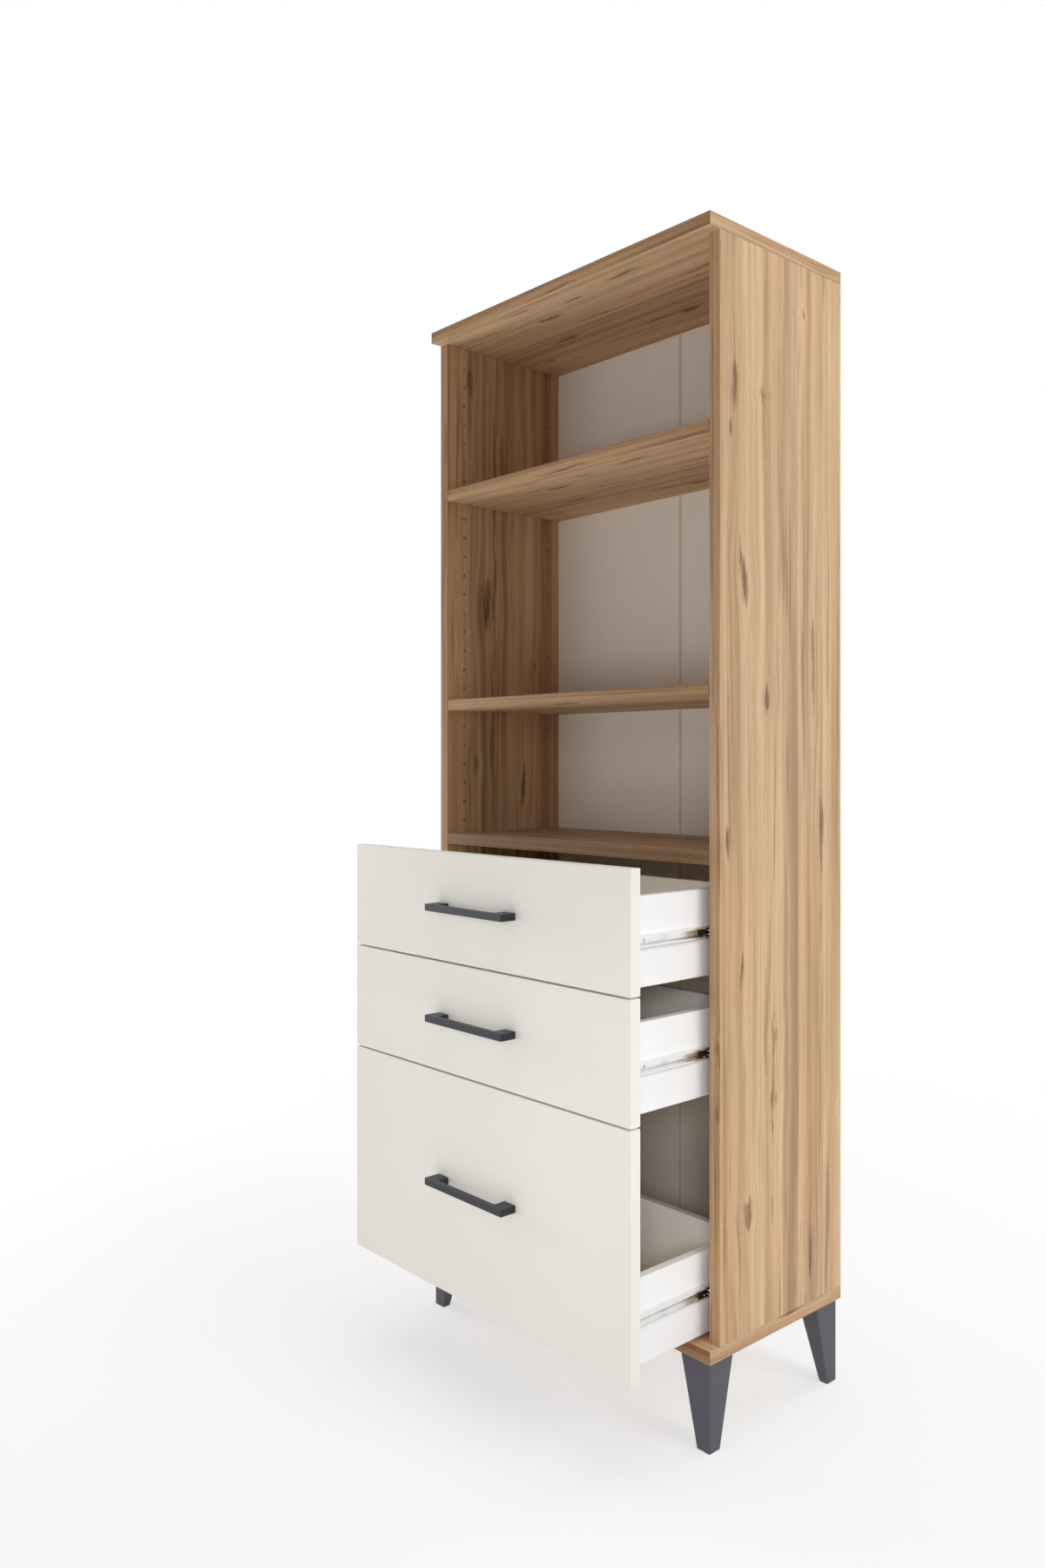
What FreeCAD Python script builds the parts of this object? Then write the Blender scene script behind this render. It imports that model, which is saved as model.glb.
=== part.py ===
import FreeCAD, Part
import os

# A bookcase with three open compartments above three drawers.
# Frame: millimetres, +Z up, fronts face -Y, origin on the floor under the
# middle of the carcass. The drawers stand open by drawer_open, as stored.

V = FreeCAD.Vector

# Carcass
width = 600.0
depth = 300.0
board = 18.0
leg_height = 120.0
edge_break = 0.5
top_space = 247.3

# Shelf-pin holes, in two columns on the inside of each side panel
hole_pitch = 32.0
hole_radius = 2.5
hole_depth = 11.0
hole_column_set = 37.0
hole_column_gap = 192.0
hole_top_margin = 30.0
pin_rise = 7.0
pin_reach = 8.0
pin_clearance = 0.15
lower_shelf_rows = 7
upper_shelf_rows = 18
shelf_play = 1.0

# Back, in two sheets joined by a strip
back_thick = 3.0
back_set = 19.2
back_play = 1.0
back_joint_x = 9.0
groove_depth = 6.0
groove_play = 0.3
strip_width = 5.0
strip_flange = 0.7
strip_web = 1.0

# Legs
leg_inset = 5.0
leg_top_width = 50.0
leg_foot_width = 22.0
leg_top_cut = 20.0
leg_foot_cut = 9.0
leg_round = 1.5
stud_radius = 4.0
stud_length = 26.0
stud_depth = 10.0

# Fasteners of the carcass
fit_clearance = 0.15
joint_set = 64.0
screw_radius = 3.0
screw_length = 50.0
screw_head_radius = 5.0
screw_head_height = 3.5
plug_radius = 6.0
plug_thick = 2.0
cam_radius = 7.5
cam_depth = 12.5
cam_set = 34.0
bolt_radius = 3.0
bolt_depth = 11.0

# Drawer fronts
front_thick = 18.0
front_gap = 2.5
front_side_reveal = 1.5
front_base_gap = 1.5
shut_gap = 2.0
shelf_cover = 6.3
shallow_front = 158.5
deep_front = 317.5
drawer_open = 150.0

# Drawer boxes
box_wall = 12.0
shallow_box = 116.5
deep_box = 111.5
shallow_rise = 2.6
deep_rise = 3.8
bottom_thick = 3.0
bottom_set = 10.0
bottom_reach = 5.5
corner_screw_radius = 2.0
corner_screw_length = 40.0
corner_screw_head = 4.0
corner_screw_set = 28.0
front_cam_set = 24.0
front_cam_depth = 10.0
front_bolt_depth = 11.0

# Handles
handle_length = 170.0
handle_height = 10.0
handle_reach = 26.3
handle_bar = 8.0
handle_post = 22.5
handle_hole_set = 5.0
handle_inner_round = 2.5
handle_outer_round = 1.2
handle_edge = 0.5
handle_screw_radius = 2.0
handle_screw_bite = 12.0
handle_screw_head = 4.0
handle_screw_head_height = 2.5
shallow_handle_drop = 79.25
deep_handle_drop = 154.5

# Runners: a channel on the drawer, a narrow rail on the panel inside it,
# and a ball cage between the two
runner_gap = 13.0
runner_rise = 60.0
runner_rear_gap = 6.8
runner_front_play = 0.5
channel_height = 15.6
channel_depth = 9.6
channel_lip = 1.2
runner_sheet = 1.2
runner_round = 0.6
rail_height = 6.4
rail_depth = 10.0
rail_setback = 2.0
runner_hole_set = 37.0
runner_rear_hole_set = 52.0
runner_hole_radius = 2.2
pad_set = 75.0
pad_length = 15.0
pad_height = 9.0
pad_raise = 0.3
cage_sheet = 0.6
cage_length = 86.0
cage_show = 8.0
cage_web_set = 1.9
cage_depth = 5.7
ball_radius = 1.4
ball_set = 5.2
ball_rows = 3
ball_end = 7.0
ball_play = 0.2

# How far a cutting tool runs past the face that it opens
past = 1.0

# Places worked out from the sizes above
half_width = width / 2
inner_half = half_width - board
y_front = -depth / 2
y_rear = depth / 2
y_side = y_front + front_thick + shut_gap
z_floor = leg_height + board
z_deep = z_floor + front_base_gap
z_middle = z_deep + deep_front + front_gap
z_upper = z_middle + shallow_front + front_gap
z_fixed = z_upper + shallow_front - shelf_cover
z_lower = z_fixed + lower_shelf_rows * hole_pitch
z_shelf = z_fixed + upper_shelf_rows * hole_pitch
z_top = z_shelf + board + top_space
y_back_face = y_rear - back_set - back_thick
y_shelf_rear = y_back_face - back_play
y_open = y_front - drawer_open
y_box = y_open + front_thick
runner_length = y_back_face - runner_rear_gap - y_side - rail_setback
y_box_rear = y_box + runner_length + 2 * runner_front_play
box_half = inner_half - runner_gap
box_inner = box_half - box_wall
joint_rows = (y_side + joint_set, y_rear - joint_set)
SIDES = {"left": -1, "right": 1}
ENDS = {"front": -1, "rear": 1}
UP = 1
DOWN = -1


def block(x, y, z):
    """A box from three (low, high) pairs."""
    return Part.makeBox(x[1] - x[0], y[1] - y[0], z[1] - z[0], V(x[0], y[0], z[0]))


def plank(x, y, z):
    """A board with every edge broken, as edge banding leaves it."""
    solid = block(x, y, z)
    return solid.makeChamfer(edge_break, solid.Edges)


def reach(side, near, far):
    """The (low, high) pair between two distances from the middle, on one side."""
    return tuple(sorted((side * near, side * far)))


def rod(radius, length, base, direction):
    """A plain round bar."""
    return Part.makeCylinder(radius, length, base, direction)


def turned(outline, base, direction):
    """A turned piece: an outline of (radius, height) points spun about an axis."""
    points = [V(radius, 0, height) for radius, height in outline]
    face = Part.Face(Part.makePolygon(points + points[:1]))
    solid = face.revolve(V(0, 0, 0), V(0, 0, 1), 360)
    solid.Placement = FreeCAD.Placement(base, FreeCAD.Rotation(V(0, 0, 1), direction))
    return solid


def headed_screw(radius, length, head_radius, head_height, base, direction, grow=0.0):
    """A screw with a tapered head flush at base; grow widens it into its own hole."""
    shank = radius + grow
    head = head_radius + grow
    outline = [(0, 0), (head, 0), (shank, head_height), (shank, length), (0, length)]
    return turned(outline, base, direction)


def group(solids):
    """Separate solids kept in one node."""
    return Part.makeCompound(list(solids))


def back_groove_y():
    """Front and rear of the groove that holds the back."""
    return (y_back_face - groove_play / 2, y_back_face + back_thick + groove_play / 2)


def pin_hole_heights():
    """Heights of the pin holes above the fixed shelf."""
    heights = []
    height = z_fixed + pin_rise + hole_pitch
    while height <= z_top - hole_top_margin:
        heights.append(height)
        height += hole_pitch
    return heights


def pin_columns():
    """The two Y places of the pin-hole columns."""
    first = y_side + hole_column_set
    return (first, first + hole_column_gap)


# Carcass fasteners

def carcass_screw(side, y, up, grow=0.0):
    """A screw down through the top board or up through the bottom board."""
    z = z_top + board - plug_thick if up == DOWN else leg_height
    return headed_screw(screw_radius, screw_length, screw_head_radius, screw_head_height,
                        V(side * (half_width - board / 2), y, z), V(0, 0, up), grow)


def carcass_screws(up, grow=0.0):
    return [carcass_screw(side, y, up, grow) for side in SIDES.values() for y in joint_rows]


def screw_plug(side, y, grow=0.0):
    """The plug over a top screw, flush with the top board."""
    base = V(side * (half_width - board / 2), y, z_top + board - plug_thick)
    return rod(plug_radius + grow, plug_thick, base, V(0, 0, 1))


def shelf_bolt(side, y, grow=0.0):
    """The bolt from a side panel into the fixed shelf's cam."""
    base = V(side * (inner_half + bolt_depth + grow), y, z_fixed + board / 2)
    length = bolt_depth + cam_set + 2 * grow
    return rod(bolt_radius + grow, length, base, V(-side, 0, 0))


def shelf_cam(side, y, grow=0.0):
    """The cam housing let into the underside of the fixed shelf."""
    base = V(side * (inner_half - cam_set), y, z_fixed)
    return rod(cam_radius + grow, cam_depth + grow, base, V(0, 0, 1))


def shelf_pin(side, y, z, grow=0.0):
    """A round pin, half in the panel and half in the shelf's notch."""
    base = V(side * (inner_half + pin_reach), y, z)
    return rod(hole_radius - pin_clearance + grow, 2 * pin_reach, base, V(-side, 0, 0))


def leg_stud(side, end, grow=0.0):
    """The stud that screws a leg to the bottom board."""
    middle = (leg_top_width - leg_top_cut / 2) / 2
    x = side * (half_width - leg_inset - middle)
    y = end * (y_rear - leg_inset - middle)
    base = V(x, y, leg_height + stud_depth - stud_length - grow)
    return rod(stud_radius + grow, stud_length + 2 * grow, base, V(0, 0, 1))


# Carcass boards

def side_panel(side):
    panel = plank(reach(side, inner_half, half_width), (y_side, y_rear), (z_floor, z_top))
    cuts = [block(reach(side, inner_half - past, inner_half + groove_depth), back_groove_y(),
                  (z_floor - past, z_top + past))]
    for height in pin_hole_heights():
        for y in pin_columns():
            cuts.append(rod(hole_radius, hole_depth + past, V(side * (inner_half - past), y, height),
                            V(side, 0, 0)))
    cuts += [shelf_bolt(side, y, fit_clearance) for y in joint_rows]
    cuts += [carcass_screw(side, y, up, fit_clearance) for y in joint_rows for up in (UP, DOWN)]
    return panel.cut(cuts)


def top_board():
    panel = plank((-half_width, half_width), (y_front, y_rear), (z_top, z_top + board))
    groove = block((-inner_half - groove_depth, inner_half + groove_depth), back_groove_y(),
                   (z_top - past, z_top + groove_depth))
    plugs = [screw_plug(side, y, fit_clearance) for side in SIDES.values() for y in joint_rows]
    return panel.cut([groove] + carcass_screws(DOWN, fit_clearance) + plugs)


def bottom_board():
    panel = plank((-half_width, half_width), (y_front, y_rear), (leg_height, z_floor))
    groove = block((-inner_half - groove_depth, inner_half + groove_depth), back_groove_y(),
                   (z_floor - groove_depth, z_floor + past))
    studs = [leg_stud(side, end, fit_clearance) for side in SIDES.values() for end in ENDS.values()]
    return panel.cut([groove] + carcass_screws(UP, fit_clearance) + studs)


def fixed_shelf():
    panel = plank((-inner_half, inner_half), (y_side, y_shelf_rear), (z_fixed, z_fixed + board))
    cuts = []
    for side in SIDES.values():
        for y in joint_rows:
            cuts += [shelf_bolt(side, y, fit_clearance), shelf_cam(side, y, fit_clearance)]
    return panel.cut(cuts)


def loose_shelf(z):
    """An adjustable shelf, notched at each end to drop over its pins."""
    half = inner_half - shelf_play
    panel = plank((-half, half), (y_side, y_shelf_rear), (z, z + board))
    cuts = []
    for side in SIDES.values():
        for y in pin_columns():
            cuts.append(shelf_pin(side, y, z + pin_rise, pin_clearance))
            cuts.append(block(reach(side, inner_half - pin_reach, inner_half),
                              (y - hole_radius, y + hole_radius), (z - past, z + pin_rise)))
    return panel.cut(cuts)


def back_sheet(side):
    """Half of the back, from a side panel's groove to the joint strip's web."""
    edge = back_joint_x + side * strip_web / 2
    outer = side * (inner_half + groove_depth - groove_play)
    return block(tuple(sorted((edge, outer))), (y_back_face, y_back_face + back_thick),
                 (z_floor - groove_depth + groove_play, z_top + groove_depth - groove_play))


def back_strip():
    """The H-shaped strip that joins the two halves of the back."""
    half = strip_width / 2
    front = y_back_face - strip_flange
    rear = y_back_face + back_thick + strip_flange
    solid = block((back_joint_x - half, back_joint_x + half), (front, rear), (z_floor, z_top))
    sheets = [block(tuple(sorted((back_joint_x + side * strip_web / 2, back_joint_x + side * strip_width))),
                    (y_back_face, y_back_face + back_thick), (z_floor - past, z_top + past))
              for side in SIDES.values()]
    return solid.cut(sheets)


def leg(side, end):
    """A moulded corner leg: square outside, cut inside, tapered on its inner faces."""
    def outline(size, cut, z):
        x = half_width - leg_inset
        y = y_rear - leg_inset
        corners = [(x, y), (x - size, y), (x - size, y - size + cut),
                   (x - size + cut, y - size), (x, y - size)]
        points = [V(side * px, end * py, z) for px, py in corners]
        return Part.makePolygon(points + points[:1])
    solid = Part.makeLoft([outline(leg_foot_width, leg_foot_cut, 0.0),
                           outline(leg_top_width, leg_top_cut, leg_height)], True, True)
    long_edges = [edge for edge in solid.Edges if edge.BoundBox.ZLength > leg_height / 2]
    return solid.makeFillet(leg_round, long_edges).cut(leg_stud(side, end, fit_clearance))


# Runners, with x measured outwards from a drawer's side

def across(side, distance):
    """X at a distance outwards from a drawer's side."""
    return side * (box_half + distance)


def drawer_channel(side, z):
    """The rolled channel screwed to a drawer's side, open towards the panel."""
    half = channel_height / 2
    y0 = y_box + runner_front_play
    solid = block(reach(side, box_half, box_half + channel_depth), (y0, y0 + runner_length),
                  (z - half, z + half))
    long_edges = [edge for edge in solid.Edges if edge.BoundBox.YLength > runner_length / 2]
    solid = solid.makeFillet(runner_round, long_edges)
    hollow = half - runner_sheet
    mouth = hollow - channel_lip
    cuts = [block(reach(side, box_half + runner_sheet, box_half + channel_depth - runner_sheet),
                  (y0 - past, y0 + runner_length + past), (z - hollow, z + hollow)),
            block(reach(side, box_half + runner_sheet, box_half + channel_depth + past),
                  (y0 - past, y0 + runner_length + past), (z - mouth, z + mouth))]
    for y in (y0 + runner_hole_set, y0 + runner_length - runner_rear_hole_set):
        cuts.append(rod(runner_hole_radius, runner_sheet + 2 * past, V(across(side, -past), y, z),
                        V(side, 0, 0)))
    return solid.cut(cuts).fuse(channel_pad(side, z)).removeSplitter()


def channel_pad(side, z):
    """The oblong pad pressed up in the channel's web."""
    radius = pad_height / 2
    y = y_box + runner_front_play + pad_set
    flat = pad_length / 2 - radius
    depth_through = runner_sheet / 2 + pad_raise
    base_x = across(side, runner_sheet / 2)
    ends = [rod(radius, depth_through, V(base_x, y + step, z), V(side, 0, 0)) for step in (-flat, flat)]
    middle = block(reach(side, box_half + runner_sheet / 2, box_half + runner_sheet + pad_raise),
                   (y - flat, y + flat), (z - radius, z + radius))
    return ends[0].fuse([ends[1], middle]).removeSplitter()


def panel_rail(side, z):
    """The narrow rail on the side panel, open towards the drawer."""
    half = rail_height / 2
    y0 = y_side + rail_setback
    solid = block(reach(side, inner_half - rail_depth, inner_half), (y0, y0 + runner_length),
                  (z - half, z + half))
    hollow = half - runner_sheet
    cut = block(reach(side, inner_half - rail_depth - past, inner_half - runner_sheet),
                (y0 - past, y0 + runner_length + past), (z - hollow, z + hollow))
    return solid.cut(cut)


def ball_places(side, z):
    """Centres of the balls held by one cage, in an upper and a lower row."""
    y0 = y_side - cage_show
    half = (channel_height / 2 - runner_sheet + rail_height / 2) / 2
    pitch = (cage_length - 2 * ball_end) / (ball_rows - 1)
    return [V(across(side, ball_set), y0 + ball_end + step * pitch, z + row * half)
            for step in range(ball_rows) for row in (-1, 1)]


def ball_cage(side, z):
    """The strip that keeps the balls apart, bent round the panel rail."""
    y0 = y_side - cage_show
    half = (channel_height / 2 - runner_sheet + rail_height / 2) / 2 + cage_sheet / 2
    inner = half - cage_sheet
    solid = block(reach(side, box_half + cage_web_set, box_half + cage_web_set + cage_depth),
                  (y0, y0 + cage_length), (z - half, z + half))
    cuts = [block(reach(side, box_half + cage_web_set + cage_sheet,
                        box_half + cage_web_set + cage_depth + past),
                  (y0 - past, y0 + cage_length + past), (z - inner, z + inner))]
    cuts += [rod(ball_radius + ball_play, 2 * cage_sheet, place - V(0, 0, cage_sheet), V(0, 0, 1))
             for place in ball_places(side, z)]
    return solid.cut(cuts)


# Drawers

def drawer_front(z, front_height, box_z, handle_z):
    half = half_width - front_side_reveal
    panel = plank((-half, half), (y_open, y_box), (z, z + front_height))
    slot_half = box_inner + bottom_reach
    cuts = [block((-slot_half, slot_half), (y_box - groove_depth, y_box + past), bottom_slot_z(box_z))]
    cuts += [handle_screw(side, handle_z, fit_clearance) for side in SIDES.values()]
    cuts += [front_bolt(side, box_z, fit_clearance) for side in SIDES.values()]
    return panel.cut(cuts)


def bottom_slot_z(box_z):
    """Lower and upper face of the groove that holds a drawer's bottom."""
    return (box_z + bottom_set, box_z + bottom_set + bottom_thick + groove_play)


def box_side(side, box_z, box_height):
    panel = plank(reach(side, box_inner, box_half), (y_box, y_box_rear), (box_z, box_z + box_height))
    slot_end = y_box_rear - box_wall + groove_depth
    cuts = [block(reach(side, box_inner - past, box_inner + groove_depth), (y_box - past, slot_end),
                  bottom_slot_z(box_z))]
    cuts += [front_bolt(side, box_z, fit_clearance), front_cam(side, box_z, fit_clearance)]
    cuts += [corner_screw(side, z, fit_clearance) for z in corner_screw_heights(box_z, box_height)]
    return panel.cut(cuts)


def box_back(box_z, box_height):
    panel = plank((-box_inner, box_inner), (y_box_rear - box_wall, y_box_rear), (box_z, box_z + box_height))
    cuts = [block((-box_inner - past, box_inner + past), (y_box_rear - box_wall - past,
                  y_box_rear - box_wall + groove_depth), bottom_slot_z(box_z))]
    cuts += [corner_screw(side, z, fit_clearance) for side in SIDES.values()
             for z in corner_screw_heights(box_z, box_height)]
    return panel.cut(cuts)


def box_bottom(box_z):
    half = box_inner + bottom_reach
    return block((-half, half), (y_box - bottom_reach, y_box_rear - box_wall + bottom_reach),
                 (box_z + bottom_set, box_z + bottom_set + bottom_thick))


def corner_screw_heights(box_z, box_height):
    return (box_z + corner_screw_set, box_z + box_height - corner_screw_set)


def corner_screw(side, z, grow=0.0):
    """A screw through a drawer's side into the end of its back."""
    base = V(side * box_half, y_box_rear - box_wall / 2, z)
    return headed_screw(corner_screw_radius, corner_screw_length, corner_screw_head,
                        corner_screw_head - corner_screw_radius, base, V(-side, 0, 0), grow)


def front_fitting_z(box_z):
    """Height of the cam fitting between a drawer's side and its front."""
    return box_z + runner_rise


def front_cam(side, box_z, grow=0.0):
    """The cam housing let into the inner face of a drawer's side."""
    base = V(side * box_inner, y_box + front_cam_set, front_fitting_z(box_z))
    return rod(cam_radius + grow, front_cam_depth + grow, base, V(side, 0, 0))


def front_bolt(side, box_z, grow=0.0):
    """The bolt from a drawer's front into its cam."""
    base = V(side * (box_half - box_wall / 2), y_box - front_bolt_depth - grow, front_fitting_z(box_z))
    return rod(bolt_radius + grow, front_bolt_depth + front_cam_set + 2 * grow, base, V(0, 1, 0))


def handle(z):
    """A bow handle: a flat bar with a broad foot at each end."""
    half = handle_length / 2
    solid = block((-half, half), (y_open - handle_reach, y_open),
                  (z - handle_height / 2, z + handle_height / 2))
    upright = [edge for edge in solid.Edges
               if edge.BoundBox.ZLength > handle_height / 2 and edge.BoundBox.YMax < y_open - handle_bar]
    solid = solid.makeFillet(handle_outer_round, upright)
    front = [edge for edge in solid.Edges if edge.BoundBox.YMax < y_open - handle_bar
             and edge.BoundBox.ZLength < handle_edge]
    solid = solid.makeChamfer(handle_edge, front)
    gap = block((-half + handle_post, half - handle_post),
                (y_open - handle_reach + handle_bar, y_open + past),
                (z - handle_height, z + handle_height))
    corners = [edge for edge in gap.Edges
               if edge.BoundBox.ZLength > handle_height and edge.BoundBox.YMax < y_open]
    gap = gap.makeFillet(handle_inner_round, corners)
    holes = [handle_screw(side, z, fit_clearance) for side in SIDES.values()]
    return solid.cut([gap] + holes)


def handle_screw(side, z, grow=0.0):
    """A pan-headed screw from inside the front into a handle's foot."""
    tip = front_thick + handle_screw_bite + grow
    shank = handle_screw_radius + grow
    outline = [(0, -handle_screw_head_height), (handle_screw_head, -handle_screw_head_height),
               (handle_screw_head, 0), (shank, 0), (shank, tip), (0, tip)]
    return turned(outline, V(side * (handle_length / 2 - handle_hole_set), y_box, z), V(0, -1, 0))


def drawer_nodes(number, z, front_height, box_rise, box_height, handle_drop):
    """All the nodes of one drawer, of its runners and of its ball cages."""
    box_z = z + box_rise
    runner_z = box_z + runner_rise
    handle_z = z + front_height - handle_drop
    name = "drawer_%d_" % number
    sides = SIDES.values()
    nodes = {name + "front": drawer_front(z, front_height, box_z, handle_z)}
    for label, side in SIDES.items():
        nodes[name + label + "_side"] = box_side(side, box_z, box_height)
    nodes[name + "back"] = box_back(box_z, box_height)
    nodes[name + "bottom"] = box_bottom(box_z)
    nodes[name + "handle"] = handle(handle_z)
    nodes[name + "handle_screws"] = group(handle_screw(side, handle_z) for side in sides)
    cams = [front_cam(side, box_z).cut(front_bolt(side, box_z, fit_clearance)) for side in sides]
    bolts = [front_bolt(side, box_z) for side in sides]
    nodes[name + "front_fittings"] = group(cams + bolts)
    nodes[name + "corner_screws"] = group(corner_screw(side, height) for side in sides
                                          for height in corner_screw_heights(box_z, box_height))
    nodes[name + "channels"] = group(drawer_channel(side, runner_z) for side in sides)
    nodes["panel_rails_%d" % number] = group(panel_rail(side, runner_z) for side in sides)
    nodes["ball_cages_%d" % number] = group(ball_cage(side, runner_z) for side in sides)
    nodes["runner_balls_%d" % number] = group(Part.makeSphere(ball_radius, place) for side in sides
                                              for place in ball_places(side, runner_z))
    return nodes


def carcass_nodes():
    """All the nodes that stay still."""
    nodes = {"top_board": top_board(), "bottom_board": bottom_board(), "fixed_shelf": fixed_shelf(),
             "lower_shelf": loose_shelf(z_lower), "upper_shelf": loose_shelf(z_shelf),
             "back_joint_strip": back_strip()}
    for label, side in SIDES.items():
        nodes[label + "_side_panel"] = side_panel(side)
        nodes["back_sheet_" + label] = back_sheet(side)
        for place, end in ENDS.items():
            nodes["leg_%s_%s" % (place, label)] = leg(side, end)
    corners = [(side, y) for side in SIDES.values() for y in joint_rows]
    nodes["carcass_screws"] = group(carcass_screws(DOWN) + carcass_screws(UP))
    nodes["screw_plugs"] = group(screw_plug(side, y) for side, y in corners)
    cams = [shelf_cam(side, y).cut(shelf_bolt(side, y, fit_clearance)) for side, y in corners]
    bolts = [shelf_bolt(side, y) for side, y in corners]
    nodes["shelf_cam_fittings"] = group(cams + bolts)
    nodes["shelf_pins"] = group(shelf_pin(side, y, z + pin_rise) for side in SIDES.values()
                                for y in pin_columns() for z in (z_lower, z_shelf))
    nodes["leg_studs"] = group(leg_stud(side, end) for side in SIDES.values() for end in ENDS.values())
    return nodes


os.makedirs("parts", exist_ok=True)
pieces = carcass_nodes()
pieces.update(drawer_nodes(1, z_upper, shallow_front, shallow_rise, shallow_box, shallow_handle_drop))
pieces.update(drawer_nodes(2, z_middle, shallow_front, shallow_rise, shallow_box, shallow_handle_drop))
pieces.update(drawer_nodes(3, z_deep, deep_front, deep_rise, deep_box, deep_handle_drop))
for node, shape in pieces.items():
    shape.exportStep("parts/%s.step" % node)
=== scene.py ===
"""Looks of the bookcase: its finishes, small fittings, floor, light and camera."""
import math

import bpy
import numpy as np
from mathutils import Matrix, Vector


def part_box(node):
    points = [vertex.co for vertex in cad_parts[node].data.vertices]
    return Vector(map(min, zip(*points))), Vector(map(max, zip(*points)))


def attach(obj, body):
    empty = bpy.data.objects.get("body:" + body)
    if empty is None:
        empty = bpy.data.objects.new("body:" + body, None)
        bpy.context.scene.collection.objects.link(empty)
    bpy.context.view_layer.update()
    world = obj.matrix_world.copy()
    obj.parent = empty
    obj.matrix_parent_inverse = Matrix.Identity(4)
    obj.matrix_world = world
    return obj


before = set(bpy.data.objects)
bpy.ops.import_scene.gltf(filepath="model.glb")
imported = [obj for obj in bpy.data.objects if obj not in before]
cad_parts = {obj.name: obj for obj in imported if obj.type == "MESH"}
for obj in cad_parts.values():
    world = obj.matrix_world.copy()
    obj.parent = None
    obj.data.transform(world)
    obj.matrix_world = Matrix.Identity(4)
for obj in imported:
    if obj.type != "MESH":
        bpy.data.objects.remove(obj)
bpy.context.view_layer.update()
DRAWERS = (1, 2, 3)
SIDES = (("left", -1), ("right", 1))
MM = 0.001


def srgb(red, green, blue):
    """A colour as seen on a screen, 0 to 255, turned into the linear light that shaders use."""
    part = np.array([red, green, blue]) / 255.0
    line = np.where(part <= 0.04045, part / 12.92, ((part + 0.055) / 1.055) ** 2.4)
    return (*line.tolist(), 1.0)


STRAW = srgb(219, 189, 151)
TAN = srgb(209, 176, 139)
HONEY = srgb(207, 168, 124)
BROWN = srgb(193, 158, 123)
MAUVE = srgb(188, 154, 127)
LINE = srgb(160, 120, 86)
UMBER = srgb(140, 103, 75)
BARK = srgb(92, 64, 48)
DARK_FLAKE = srgb(190, 160, 118)
PALE_FLAKE = srgb(238, 218, 182)
CREAM = srgb(238, 234, 226)
CREAM_BAND = srgb(234, 230, 223)
WHITE = srgb(241, 240, 240)
# white of the drawer backs, warmed as painted warm bounce light from the wood
BOUNCE_WARMED_WHITE = srgb(244, 240, 234)
WHITE_BAND = srgb(243, 242, 241)
BAND_JOINT = srgb(120, 110, 92)
BACK_LACQUER = srgb(236, 230, 219)
BOTTOM_LACQUER = srgb(240, 233, 214)
DARK_FIBRE = srgb(112, 80, 54)
PALE_FIBRE = srgb(152, 114, 80)
ZINC = srgb(238, 238, 237)
ANTHRACITE = srgb(38, 41, 47)
PURE_WHITE = (1.0, 1.0, 1.0, 1.0)

FACING = 0.7                     # a face looks along an axis when that part of its normal is over this
BAND_JOINT_AT = 1.0 * MM         # joint between an edge band and the board's face, from the edge
HOLE_DEPTH = 0.6 * MM            # deeper than this under every face is the wall of a hole or groove
REAR_EDGE = 0.3 * MM             # what lies this near a board's rear is its unbanded edge
CHANNEL_PAD_FACE = 0.2705        # distance of the runners' pressed pads from the middle


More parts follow.
